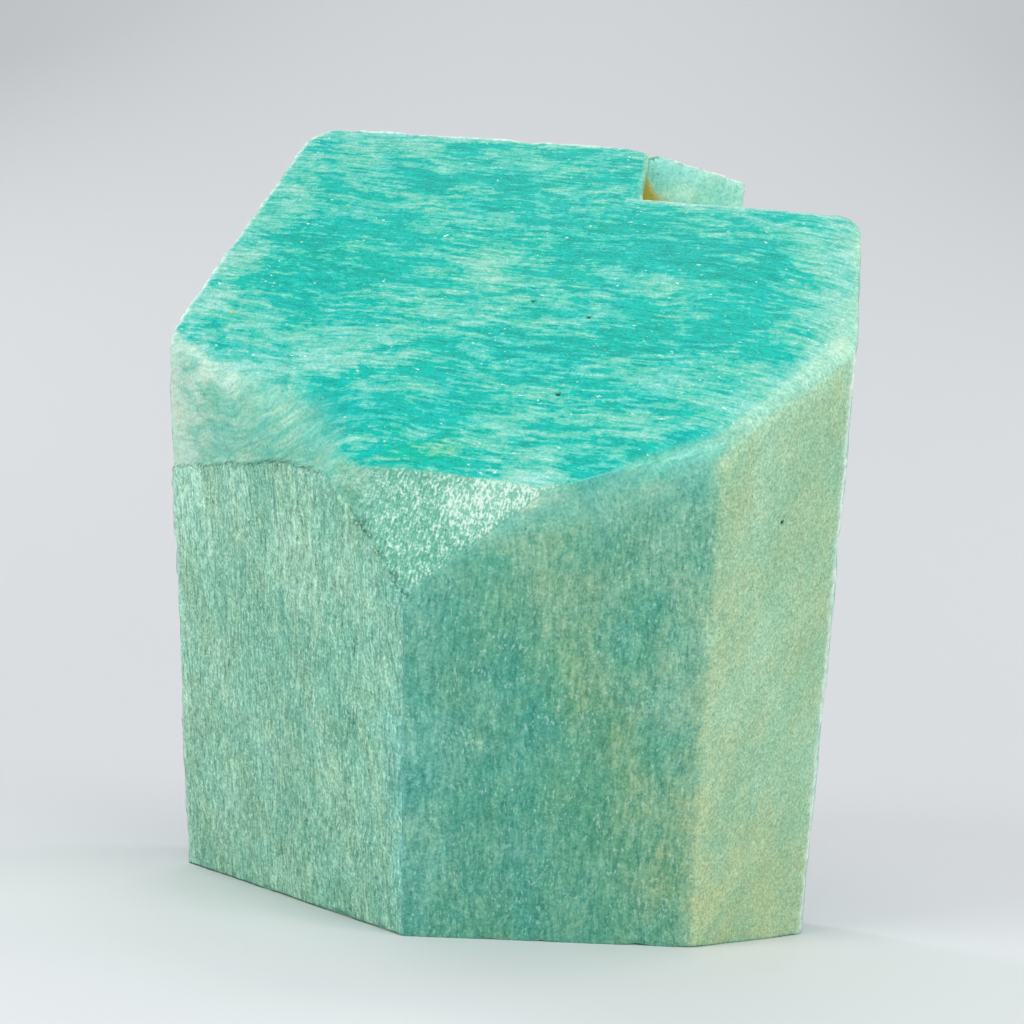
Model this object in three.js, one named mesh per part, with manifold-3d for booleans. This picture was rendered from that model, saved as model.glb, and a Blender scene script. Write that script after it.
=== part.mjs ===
// A rough amazonite: one blocky crystal of green microcline, as it grew, with growth faces named by
// their Miller indices. It rests on the broken base that runs close to its basal cleavage.
// Millimetres, +Z up, front towards -Y, origin on the resting face.
import * as THREE from 'three';
import { mergeVertices } from 'three/addons/utils/BufferGeometryUtils.js';
import Module from 'manifold-3d';

const wasm = await Module();
wasm.setup();
const { Manifold, Mesh } = wasm;

const degrees = THREE.MathUtils.degToRad;
const up = new THREE.Vector3(0, 0, 1);

// Unit cell of microcline: edges in angstrom, angles in degrees.
const cell = { a: 8.573, b: 12.96, c: 7.218, alpha: 90.5, beta: 115.95, gamma: 88.2 };

// How the crystal lies: spun about its long c axis, which then leans towards the front.
const spin = 71.5;
const lean = 23.3;
const leanTurn = -8.3;

// Each face: Miller indices, and its distance from the origin along its outward normal.
const growthFaces = [
  { name: 'top dome x', hkl: [-1, 0, 1], distance: 35.15 },
  { name: 'ridge pinacoid c', hkl: [0, 0, 1], distance: 57.55 },
  { name: 'front triangle y', hkl: [-2, 0, 1], distance: 26.8 },
  { name: 'front left prism m', hkl: [-1, 1, 0], distance: 10.8 },
  { name: 'front right prism M', hkl: [-1, -1, 0], distance: 10.4 },
  { name: 'right front prism z', hkl: [-1, -3, 0], distance: 15.55 },
  { name: 'left pinacoid b', hkl: [0, 1, 0], distance: 23.95 },
  { name: 'right side, near b', hkl: [1, -12, 0], distance: 23.3 },
  { name: 'right back prism M', hkl: [1, -1, 0], distance: 34.3 },
  { name: 'left back prism m', hkl: [1, 1, 0], distance: 37 },
  { name: 'left back prism z', hkl: [1, 3, 0], distance: 34.5 },
  { name: 'back dome y', hkl: [2, 0, -1], distance: 14 },
  { name: 'back bevel x', hkl: [1, 0, -1], distance: 8.9 },
  { name: 'front left bevel', hkl: [-2, 1, 1], distance: 27.3 },
  { name: 'ridge bevel n, left', hkl: [0, 2, 1], distance: 56.7 },
  { name: 'ridge bevel e, right', hkl: [0, -2, 1], distance: 50.7 },
];

// The re-entrant notch at the right end of the ridge, above a ledge of the basal pinacoid.
const ledgeHeight = 52.15;
const notchWall = { hkl: [1, -12, 0], distance: 7.6 };
const notchFace = { hkl: [-3, -4, 0], distance: -19.95 };
const notchEnd = { hkl: [1, -3, 0], distance: 24.85 };

// Cleavage steps on the back: above each height, the back dome lies this much deeper.
const backSteps = [
  { height: 13, depth: 0.9 },
  { height: 27, depth: 1.7 },
];

// Block that the faces are cut from, the reach of each cutter, and how close corners are joined.
const blank = 120;
const reach = 500;
const weld = 1e-4;

/** Direct axes of the cell, with c along Z and b in the YZ plane. */
function cellAxes() {
  const [alpha, beta, gamma] = [cell.alpha, cell.beta, cell.gamma].map(degrees);
  const c = new THREE.Vector3(0, 0, cell.c);
  const b = new THREE.Vector3(0, Math.sin(alpha), Math.cos(alpha)).multiplyScalar(cell.b);
  const az = cell.a * Math.cos(beta);
  const ay = (cell.a * cell.b * Math.cos(gamma) - az * b.z) / b.y;
  const ax = Math.sqrt(cell.a ** 2 - ay ** 2 - az ** 2);
  return [new THREE.Vector3(ax, ay, az), b, c];
}

/** Turns a direction of the cell into the frame in which the crystal lies. */
function layingRotation() {
  const turn = degrees(leanTurn);
  const leanAxis = new THREE.Vector3(Math.cos(turn), Math.sin(turn), 0);
  const leaning = new THREE.Matrix4().makeRotationAxis(leanAxis, degrees(lean));
  return leaning.multiply(new THREE.Matrix4().makeRotationZ(degrees(spin)));
}

const [axisA, axisB, axisC] = cellAxes();
const laying = layingRotation();
const reciprocal = [
  new THREE.Vector3().crossVectors(axisB, axisC),
  new THREE.Vector3().crossVectors(axisC, axisA),
  new THREE.Vector3().crossVectors(axisA, axisB),
];

/** Outward unit normal of the face (h k l). */
function faceNormal(hkl) {
  const normal = new THREE.Vector3();
  hkl.forEach((index, i) => normal.addScaledVector(reciprocal[i], index));
  return normal.normalize().applyMatrix4(laying).normalize();
}

/** Solid from a closed geometry, keeping positions only. */
function solid(geometry) {
  const bare = geometry.clone();
  Object.keys(bare.attributes)
    .filter((name) => name !== 'position')
    .forEach((name) => bare.deleteAttribute(name));
  const welded = mergeVertices(bare, weld);
  return new Manifold(new Mesh({
    numProp: 3,
    vertProperties: new Float32Array(welded.attributes.position.array),
    triVerts: new Uint32Array(welded.index.array),
  }));
}

/** Half-space outside a plane, as a box whose inner wall lies on the plane. */
function beyond(normal, distance) {
  const box = new THREE.BoxGeometry(reach, reach, reach);
  box.translate(0, 0, reach / 2 + distance);
  box.applyQuaternion(new THREE.Quaternion().setFromUnitVectors(up, normal));
  return solid(box);
}

/** The convex growth form standing on the broken base at z = 0. */
function growthForm() {
  const box = new THREE.BoxGeometry(blank, blank, blank);
  box.translate(0, 0, blank / 2);
  return growthFaces.reduce(
    (form, face) => form.subtract(beyond(faceNormal(face.hkl), face.distance)),
    solid(box),
  );
}

/** What the notch takes away: all above its ledge, in front of its face and beyond its end. */
function notch() {
  const aboveLedge = beyond(faceNormal([0, 0, 1]), ledgeHeight);
  const front = beyond(faceNormal(notchWall.hkl), notchWall.distance)
    .intersect(beyond(faceNormal(notchFace.hkl), notchFace.distance));
  const end = beyond(faceNormal(notchEnd.hkl), notchEnd.distance);
  return aboveLedge.intersect(front.add(end));
}

/** One cleavage step: a sliver of the back, above a level plane. */
function backStep({ height, depth }) {
  const back = growthFaces.find((face) => face.name === 'back dome y');
  return beyond(faceNormal(back.hkl), back.distance - depth)
    .intersect(beyond(up, height));
}

/** Geometry of a finished solid. */
function geometryOf(body) {
  const mesh = body.getMesh();
  const geometry = new THREE.BufferGeometry();
  geometry.setAttribute('position', new THREE.BufferAttribute(new Float32Array(mesh.vertProperties), 3));
  geometry.setIndex(new THREE.BufferAttribute(new Uint32Array(mesh.triVerts), 1));
  const faceted = geometry.toNonIndexed();
  faceted.computeVertexNormals();
  return faceted;
}

function crystal() {
  const body = backSteps.map(backStep).reduce((form, step) => form.subtract(step), growthForm());
  const material = new THREE.MeshStandardMaterial({ color: '#6fc4ac', roughness: 0.55, metalness: 0 });
  const mesh = new THREE.Mesh(geometryOf(body.subtract(notch())), material);
  mesh.name = 'crystal';
  return mesh;
}

const amazonite = new THREE.Group();
amazonite.name = 'rough_amazonite';
amazonite.add(crystal());

export default amazonite;
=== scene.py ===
"""Rough amazonite: the looks of one natural crystal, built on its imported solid.

The solid's flat faces are read from the frame and meshed again with small triangles. One formula then
rounds and chips their edges and curves the left shoulder, and growth relief comes on top. Lengths are in
millimetres until a mesh is made.
"""

import math

import bmesh
import bpy
import numpy as np
from mathutils import Matrix, Vector, geometry, kdtree, noise

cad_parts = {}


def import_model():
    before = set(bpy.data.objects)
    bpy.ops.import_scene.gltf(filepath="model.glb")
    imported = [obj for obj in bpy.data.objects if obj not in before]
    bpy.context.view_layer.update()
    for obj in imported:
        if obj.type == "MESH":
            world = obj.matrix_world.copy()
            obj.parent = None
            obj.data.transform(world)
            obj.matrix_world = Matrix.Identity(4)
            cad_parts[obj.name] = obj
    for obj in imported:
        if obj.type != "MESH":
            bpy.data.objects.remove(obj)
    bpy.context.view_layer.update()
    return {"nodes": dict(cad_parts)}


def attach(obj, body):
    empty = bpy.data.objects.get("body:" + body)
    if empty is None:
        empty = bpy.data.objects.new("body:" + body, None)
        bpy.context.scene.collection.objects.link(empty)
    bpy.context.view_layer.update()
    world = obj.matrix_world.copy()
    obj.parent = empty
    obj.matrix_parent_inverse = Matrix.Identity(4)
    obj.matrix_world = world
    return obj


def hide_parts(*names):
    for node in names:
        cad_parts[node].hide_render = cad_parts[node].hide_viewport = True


MM = 0.001

# Directions in the lying crystal: normal to the perthite sheets, and the two axes that lie in them.
SHEET_NORMAL = np.array((0.3055, 0.8689, 0.3894))
AXIS_B = np.array((-0.9499, 0.3062, 0.0620))
AXIS_C = np.array((-0.0571, -0.3915, 0.9184))

# On the rounded shoulder the strands run level, and from a place in x they climb to the right.
STRANDS_CLIMB_FROM = -18.0
STRANDS_CLIMB = 0.55

# Outward directions by which the solid's faces are told apart.
DIRECTIONS = {
    "dome": (-0.185, -0.711, 0.678),
    "triangle": (-0.286, -0.932, 0.222),
    "left": (-0.743, -0.598, -0.301),
    "centre": (0.231, -0.900, -0.369),
    "right": (0.697, -0.675, -0.244),
    "side_left": (-0.959, 0.276, 0.058),
    "side_right": (0.988, -0.152, -0.003),
    "top": (0.075, 0.031, 0.997),
    "back": (0.286, 0.932, -0.222),
    "base": (0.0, 0.0, -1.0),
    "notch": (0.362, -0.865, -0.346),
    "notch_end": (0.974, 0.181, 0.138),
    "level": (0.0, 0.0, 1.0),
}

# Camera, as measured: place, view direction and right-hand direction.
CAMERA_AT = np.array((0.26, -123.16, 20.49))
CAMERA_FORWARD = Vector((0.0, 0.9979, 0.0654))
CAMERA_RIGHT = Vector((0.9961, -0.0058, 0.0883))
CAMERA_LENS = 59.77
CAMERA_SENSOR = 36.0
CAMERA_CLIP = (0.005, 10)

# Reading the solid: how near points are one (metres), how little one face bends (degrees), the least cosine
# to a named direction, and how far a corner may stand out of a convex face.
WELD = 1e-6
FLAT_WITHIN = 0.4
ALIKE = 0.999
PROUD = 0.02

# Triangle sizes: on the faces that the camera sees, on the etched triangle, on the hidden faces, and
# rows beside every edge. Seen triangles are longer along the grain.
FINE = 0.27
ETCHED = 0.16
COARSE = 0.6
ALONG_GRAIN = 1.5
EDGE_ROWS = (0.1, 0.26)

# How near points are one or on a face, and how clear they keep of edges and guides, as shares of their
# row's distance or of the lattice's spacing.
CLOSE = 1e-6
ON_FACE = 1e-3
ROW_CLEAR = 0.97
LATTICE_CLEAR = 0.45
GUIDE_CLEAR = 0.6

# Radii of edges: of all, more where a noise above a level chips them, and of the named ones. The dome's
# right edge softens within a depth, and its edge with the centre within a width, not near the triangle.
CRISP = 0.08
CHIPPED = 0.3
CHIP_SIZE = 1.3
CHIPS_ABOVE = 0.15
DOME_RIGHT_RADIUS = 0.65
DOME_RIGHT_DEPTH = (-3.0, -0.5)
DOME_CENTRE_RADIUS = 0.65
DOME_CENTRE_WIDTH = 1.6
TRIANGLE_DEPTH = (-0.8, -2.2)
NOTCH_RADIUS = 0.12

# How many times points move towards the rounded form, and the step by which its slope is measured.
SETTLE_STEPS = 6
SLOPE_STEP = 0.01

# The notch's wall stands a little more upright than its plane in the solid, and what lies within a
# reach of it shifts along. Towards it, the ridge drops over a short stretch. The drop ends soon past
# the wall, and at a small depth behind the dome.
WALL_NORMAL = np.array((0.9965, -0.043, -0.071))
RIDGE_DROP = 0.66
RIDGE_DROP_LENGTH = 3.9
RIDGE_DROP_CURVE = 2.2
RIDGE_RETURN = 0.8
RIDGE_DROP_DEPTH = (-2.6, -0.5)
WALL_REACH = 1.2

# The left face ends in a ledge. Its height falls a little between two places in x and wavers (height,
# pace, phase). Above it the face stands back and rolls over into the dome. Depth and radius change
# along the shoulder's edge, given at shares of the way from the side to the triangle.
LEDGE_HEIGHT = 29.45
LEDGE_FALL = 0.9
LEDGE_FALL_BETWEEN = (-15.0, -10.8)
LEDGE_WAVES = ((0.06, 1.9, 0.0), (0.04, 4.3, 1.0), (0.02, 9.7, 0.0))
LEDGE_RISE = 0.2
LEDGE_REACH = 2.2
LEDGE_ROWS = (-0.3, -0.12, -0.04, 0.02, 0.1, 0.18, 0.26, 0.42)
SHOULDER_SHARES = (0.0, 0.35, 0.72, 0.9, 1.0)
SHOULDER_DEPTHS = (0.17, 0.45, 0.9, 0.6, 0.3)
SHOULDER_RADII = (0.35, 1.1, 1.9, 1.4, 0.8)

# The dome rolls over towards the right side: its drop at the top and at the lower end of that edge,
# the width of the rolled strip and its blend.
ROLL_DROPS = (0.55, 1.0)
ROLL_WIDTH = 2.2
ROLL_BLEND = 0.6

# Small pits: place, and whether rust fills them. Then the radii at which a pit starts and is full, its
# depth, and rings of mesh points round it, as radius and count.
PITS = (
    ((0.4, -9.1, 42.4), False),
    ((4.2, -11.2, 41.2), False),
    ((17.4, -13.8, 42.1), False),
    ((2.5, -16.5, 35.2), False),
    ((13.3, -21.7, 32.7), False),
    ((-12.7, -14.2, 33.5), False),
    ((-11.0, -15.0, 33.1), False),
    ((-20.4, -5.6, 40.4), True),
    ((17.5, -15.3, 28.4), False),
    ((-23.1, -6.0, 33.0), True),
    ((-11.4, -18.5, 28.3), True),
)
PIT_RADII = (0.2, 0.08)
PIT_DEPTH = 0.15
PIT_RINGS = ((0.0, 1), (0.07, 5), (0.14, 8), (0.23, 10))

# Broad zones of colour round a line: its two ends, its radius, and how much paler and warmer it is.
ZONES = (
    # The dome: pale along its front, at its right end, and along its lower right and left edges.
    ((-23.4, -9.2, 35.8), (-9.0, -12.1, 37.0), 1.2, 0.7, 0.0),
    ((21.3, -8.3, 49.0), (19.5, -17.0, 40.2), 2.4, 0.8, 0.1),
    ((20.5, -16.5, 40.0), (14.5, -20.3, 34.5), 1.7, 0.5, 0.05),
    ((-22.6, -5.0, 40.3), (-18.4, 5.0, 52.0), 1.7, 0.7, 0.05),
    # Deep patches on it, and pale and warmer ones.
    ((-11.5, -15.5, 32.8), (-2.3, -16.3, 33.8), 1.5, -0.5, 0.0),
    ((-2.0, -12.5, 38.5), (12.6, -14.7, 39.8), 1.9, -0.5, 0.0),
    ((6.0, -18.0, 35.0), (10.5, -18.0, 35.3), 0.9, -0.4, 0.0),
    ((-20.6, 3.4, 50.0), (-13.0, -3.7, 44.0), 3.0, -0.5, 0.0),
    ((3.0, -4.5, 48.5), (15.0, -9.6, 46.0), 2.6, -0.6, 0.0),
    ((-13.5, -3.4, 44.4), (0.7, -6.0, 45.7), 4.5, 0.0, 0.1),
    ((-8.0, 3.0, 53.0), (3.0, 1.2, 53.0), 1.3, -0.6, 0.0),
    ((-3.4, -6.0, 44.6), (-2.2, -8.5, 42.4), 1.5, 0.4, 0.1),
    ((6.5, -17.2, 36.4), (10.0, -17.4, 36.5), 0.8, 0.6, 0.0),
    ((-18.0, 8.0, 56.0), (-9.0, 7.0, 56.3), 1.5, 0.5, 0.0),
    ((-6.8, -18.6, 30.4), (-4.2, -19.0, 30.7), 1.2, 0.1, 0.5),
    # The shoulder: whitish at its left end, paler in the middle, deep next to the triangle.
    ((-24.4, -6.9, 37.0), (-23.2, -4.1, 29.5), 1.9, 0.9, 0.0),
    ((-21.5, -9.5, 35.5), (-16.5, -12.4, 35.0), 1.6, 0.35, 0.0),
    ((-13.5, -16.4, 32.5), (-11.0, -19.4, 30.5), 1.7, -0.7, 0.0),
    # The centre face: an olive vein, olive next to the right face, paler at the left, deep in between.
    ((2.7, -21.0, 24.8), (5.1, -17.4, 17.4), 2.5, 0.2, 0.34),
    ((5.1, -17.4, 17.4), (8.0, -15.1, 13.8), 2.3, 0.08, 0.2),
    ((8.0, -15.1, 13.8), (13.0, -10.4, 5.4), 2.7, 0.12, 0.26),
    ((5.5, -14.2, 10.0), (13.6, -9.4, 3.3), 3.4, 0.0, 0.25),
    ((-1.6, -21.9, 24.2), (0.2, -21.5, 24.2), 1.1, -0.4, 0.0),
    ((12.2, -18.0, 23.0), (14.0, -11.5, 8.0), 1.8, 0.3, 0.12),
    ((2.7, -18.0, 17.6), (2.7, -12.0, 2.8), 2.6, -0.2, -0.2),
    ((-4.6, -20.4, 20.1), (-3.7, -13.4, 2.5), 2.3, 0.3, -0.3),
    ((9.4, -20.2, 27.4), (9.8, -19.2, 24.8), 1.6, 0.1, 0.05),
    ((4.4, -22.5, 29.4), (8.0, -21.9, 30.8), 1.3, -0.6, -0.1),
    # The right face: a little yellower along its front edge and at its foot.
    ((14.2, -19.6, 31.1), (16.4, -11.6, 15.1), 1.8, 0.15, 0.04),
    ((18.4, -5.2, 3.0), (22.4, -0.9, 2.7), 5.0, 0.0, 0.28),
    # Pinkish white on the notch's face.
    ((10.4, 5.6, 54.4), (11.6, 6.0, 54.7), 0.9, 0.7, 0.3),
    # The left face: paler at the left and above, darker below the triangle, olive at its foot.
    ((-23.5, -2.5, 27.0), (-21.5, 2.5, 12.0), 2.6, 0.3, 0.05),
    ((-23.0, -5.5, 28.0), (-15.5, -12.5, 25.5), 3.0, 0.3, 0.0),
    ((-7.0, -20.2, 22.0), (-6.4, -19.6, 19.0), 1.2, -0.35, 0.0),
    ((-9.5, -13.0, 12.0), (-9.3, -11.5, 8.0), 1.8, -0.25, 0.0),
    ((-19.7, 4.7, 3.3), (-19.5, 4.9, 3.0), 3.4, 0.0, 0.2),
    # The triangle: a cream patch, and whiter etching with painted sparkle at its right end, along its top
    # and at its left.
    ((-8.6, -20.0, 28.6), (-7.4, -20.3, 28.3), 0.5, 0.3, 0.35),
    ((1.0, -22.4, 29.6), (-2.4, -21.9, 27.3), 1.9, 0.8, 0.0),
    ((-8.6, -20.4, 30.6), (0.0, -21.9, 30.6), 0.7, 0.3, 0.0),
    ((-10.6, -19.0, 28.9), (-9.4, -19.3, 28.2), 1.0, 0.5, 0.0),
)

# Rust in the notch's inner corner: a wedge that widens downwards from an apex. Its width at the apex and
# what it gains at the foot are measured along the notch's face and along its wall.
STAIN_APEX_HEIGHT = 55.8
STAIN_FALL = 2.0
STAIN_ON_FACE = (0.12, 2.1)
STAIN_ON_WALL = (0.2, 1.5)

# Depths of growth relief, each multiplied by a noise: swells, ridges in the grain, deeper on some faces,
# etching on the triangle, chips along edges, terraces on hidden faces, and hackles well inside the base.
SWELLS = (0.05, 0.025)
RIDGES = 0.012
MORE_RIDGES = {"left": 0.022, "centre": 0.008, "dome": 0.012}
ETCHING = 0.035
RIGHT_ROUGHNESS = 0.012
NOTCH_ROUGHNESS = 0.03
CHIPS = 0.08
TERRACES = 0.06
TERRACE_EDGE = (-0.03, 0.03)
HACKLES = (0.35, 0.12)
HACKLES_FROM = 1.5


# ---- The solid's faces ----


def unit(vector):
    return np.array(vector) / np.linalg.norm(vector)


class Plane:
    """A plane through a point, square to a unit vector. Called with points, it gives their heights."""

    def __init__(self, point, normal):
        self.normal = normal
        self.distance = float(point @ normal)

    def __call__(self, points):
        return points @ self.normal - self.distance

    def drop(self, points):
        """Points moved straight onto the plane."""
        return points - np.outer(self(points), self.normal)


class Face(Plane):
    """A flat face of the solid: its plane, its outline, and whether the solid is convex there."""

    def __init__(self, corners, outline, normal):
        super().__init__(corners[outline[0]], normal)
        self.outline = outline
        self.convex = bool((corners @ normal).max() < self.distance + PROUD)
        middle = corners[outline].mean(axis=0)
        self.seen = bool((CAMERA_AT - middle) @ normal > 0)
        self.size = FINE if self.seen else COARSE

    def sides(self):
        """Numbers of the corners at both ends of each of its edges."""
        return list(zip(self.outline, self.outline[1:] + self.outline[:1]))


def read_faces(cad):
    """Corners of the CAD node, and its flat faces."""
    mesh = bmesh.new()
    mesh.from_mesh(cad.data)
    bmesh.ops.remove_doubles(mesh, verts=mesh.verts, dist=WELD)
    limit = math.radians(FLAT_WITHIN)
    bmesh.ops.dissolve_limit(mesh, angle_limit=limit, verts=mesh.verts, edges=mesh.edges)
    mesh.normal_update()
    mesh.verts.index_update()
    corners = np.array([v.co for v in mesh.verts]) / MM
    faces = [Face(corners, [v.index for v in f.verts], np.array(f.normal)) for f in mesh.faces]
    mesh.free()
    return corners, faces


def looking(faces, name, convex):
    """The faces that look the way of a name, outermost first."""
    direction = unit(DIRECTIONS[name])
    alike = [f for f in faces if f.convex == convex and f.normal @ direction > ALIKE]
    return sorted(alike, key=lambda f: -f.distance)


def named_face(faces, name, convex=True):
    return looking(faces, name, convex)[0]


def meeting_point(*planes):
    """Where three planes meet."""
    return np.linalg.solve([p.normal for p in planes], [p.distance for p in planes])


def outermost(planes, points):
    """How far points stand out from the outermost of several planes."""
    return np.max([p(points) for p in planes], axis=0)


# ---- Small formulas ----


def soft_max(values, radius):
    """The largest of several fields, blended where two are within about a radius."""
    top = np.max(values, axis=0)
    return top + radius * np.log(sum(np.exp((v - top) / radius) for v in values))


def soft_min(values, radius):
    return -soft_max([-v for v in values], radius)


def smooth_step(low, high, value):
    share = np.clip((value - low) / (high - low), 0, 1)
    return share * share * (3 - 2 * share)


def hill(value, width):
    """1 where the value is 0, falling smoothly to 0 about two widths away."""
    return np.exp(-((value / width) ** 2))


def lumps(points, size):
    """Solid noise at points. size is the length of its lumps, one number or one for each axis."""
    return np.array([noise.noise(Vector(p)) for p in points / size])


def in_grain(points):
    """Coordinates across the perthite sheets and along the two axes that lie in them."""
    return points @ np.stack([SHEET_NORMAL, AXIS_B, AXIS_C], axis=1)


def distance_to_line(points, start, end):
    """Distance of points from the stretch between two places."""
    run = np.subtract(end, start)
    share = np.clip((points - start) @ run / (run @ run), 0, 1)
    return np.linalg.norm(points - start - np.outer(share, run), axis=1)


# ---- Meshing the faces ----


def grain_of(face):
    """The direction in a face along which the perthite sheets cross it."""
    return unit(np.cross(face.normal, SHEET_NORMAL))


class Flat:
    """Two-dimensional coordinates in a face, with the first one along the grain and shortened."""

    def __init__(self, face):
        self.along = grain_of(face)
        self.across = np.cross(face.normal, self.along)
        self.stretch = ALONG_GRAIN if face.seen else 1.0
        self.origin = face.normal * face.distance

    def flatten(self, points):
        offset = points - self.origin
        return np.stack([offset @ self.along / self.stretch, offset @ self.across], axis=-1)

    def raise_back(self, flat):
        return self.origin + flat[:, :1] * self.stretch * self.along + flat[:, 1:] * self.across


def edges_of(outline):
    """The start and end of every edge of an outline."""
    return list(zip(outline, np.roll(outline, -1, axis=0)))


def inside(points, outline):
    """Which flat points lie within an outline."""
    result = np.zeros(len(points), bool)
    for start, end in edges_of(outline):
        crosses = (start[1] > points[:, 1]) != (end[1] > points[:, 1])
        rise = np.where(end[1] == start[1], CLOSE, end[1] - start[1])
        meets = start[0] + (points[:, 1] - start[1]) / rise * (end[0] - start[0])
        result ^= crosses & (points[:, 0] < meets)
    return result


def clearance(points, outline):
    """Distance of points from an outline's nearest edge."""
    return np.min([distance_to_line(points, *edge) for edge in edges_of(outline)], axis=0)


def rows_beside(outline, samples):
    """Rows of points just inside every edge."""
    found = []
    for (start, end), steps in zip(edges_of(outline), samples):
        edge = end - start
        inward = np.array((-edge[1], edge[0])) / np.linalg.norm(edge)
        shares = (np.arange(steps) + 0.5) / steps
        for row in EDGE_ROWS:
            line = start + shares[:, None] * edge + inward * row
            found.append(line[(clearance(line, outline) > row * ROW_CLEAR) & inside(line, outline)])
    return np.concatenate(found)


def filling(outline, spacing):
    """A triangular lattice of points inside an outline, clear of the rows beside its edges."""
    low, high = outline.min(axis=0), outline.max(axis=0)
    rise = spacing * math.sqrt(3) / 2
    columns, rows = np.ceil((high - low) / (spacing, rise)).astype(int) + 1
    x, y = np.meshgrid(np.arange(columns), np.arange(rows))
    points = np.stack([(x + 0.5 * (y % 2)) * spacing, y * rise], axis=-1).reshape(-1, 2) + low
    points = points[inside(points, outline)]
    return points[clearance(points, outline) > EDGE_ROWS[-1] + LATTICE_CLEAR * spacing]


def apart(points, others, gap):
    """The flat points that are more than a gap from all others."""
    if not len(others):
        return points
    tree = kdtree.KDTree(len(others))
    for i, other in enumerate(others):
        tree.insert((*other, 0), i)
    tree.balance()
    return points[[tree.find((*p, 0))[2] > gap for p in points]]


class CrystalMesh:
    """The faces cut into small triangles that share their points along every edge.

    guides are extra points that lie on the faces, where the surface gets small features.
    """

    def __init__(self, corners, faces, guides):
        self.points = list(corners)
        self.triangles = []
        self.corners = corners
        self.guides = guides
        self.edges = {}
        self.spacing = {}
        for face in faces:
            for side in face.sides():
                pair = tuple(sorted(side))
                self.spacing[pair] = min(face.size, self.spacing.get(pair, face.size))
        for face in faces:
            self.add_face(face)

    def edge_samples(self, start, end):
        """Numbers of the points on an edge, after its start and before its end."""
        pair = tuple(sorted((start, end)))
        if pair not in self.edges:
            low, high = self.corners[pair[0]], self.corners[pair[1]]
            steps = max(1, round(np.linalg.norm(high - low) / self.spacing[pair]))
            first = len(self.points)
            self.points += [low + (high - low) * i / steps for i in range(1, steps)]
            self.edges[pair] = list(range(first, len(self.points)))
        found = self.edges[pair]
        return found if start < end else found[::-1]

    def inner_points(self, face, flat, outline, steps):
        """Flat points inside a face: its guides, the rows beside its edges, and a lattice."""
        size = face.size / math.sqrt(flat.stretch)
        own = flat.flatten(self.guides[np.abs(face(self.guides)) < ON_FACE])
        own = own[inside(own, outline)]
        own = own[clearance(own, outline) > EDGE_ROWS[0]]
        rows = apart(rows_beside(outline, steps), own, EDGE_ROWS[0] / 2)
        lattice = apart(filling(outline, size), own, GUIDE_CLEAR * size)
        return np.concatenate([own, rows, lattice])

    def add_face(self, face):
        flat = Flat(face)
        border, steps = [], []
        for start, end in face.sides():
            between = self.edge_samples(start, end)
            border += [start] + between
            steps.append(len(between) + 1)
        outline = flat.flatten(self.corners[face.outline])
        inner = self.inner_points(face, flat, outline, steps)
        rim = flat.flatten(np.array([self.points[i] for i in border]))
        both = [Vector(p) for p in np.concatenate([rim, inner])]
        ring = [(i, (i + 1) % len(border)) for i in range(len(border))]
        made = geometry.delaunay_2d_cdt(both, ring, [], 1, CLOSE)
        first = len(self.points)
        self.points += list(flat.raise_back(inner))
        numbers = border + list(range(first, len(self.points)))
        names = [numbers[sources[0]] for sources in made[3]]
        self.triangles += [[names[i] for i in triangle] for triangle in made[2]]


# ---- The rounded form ----


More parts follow.
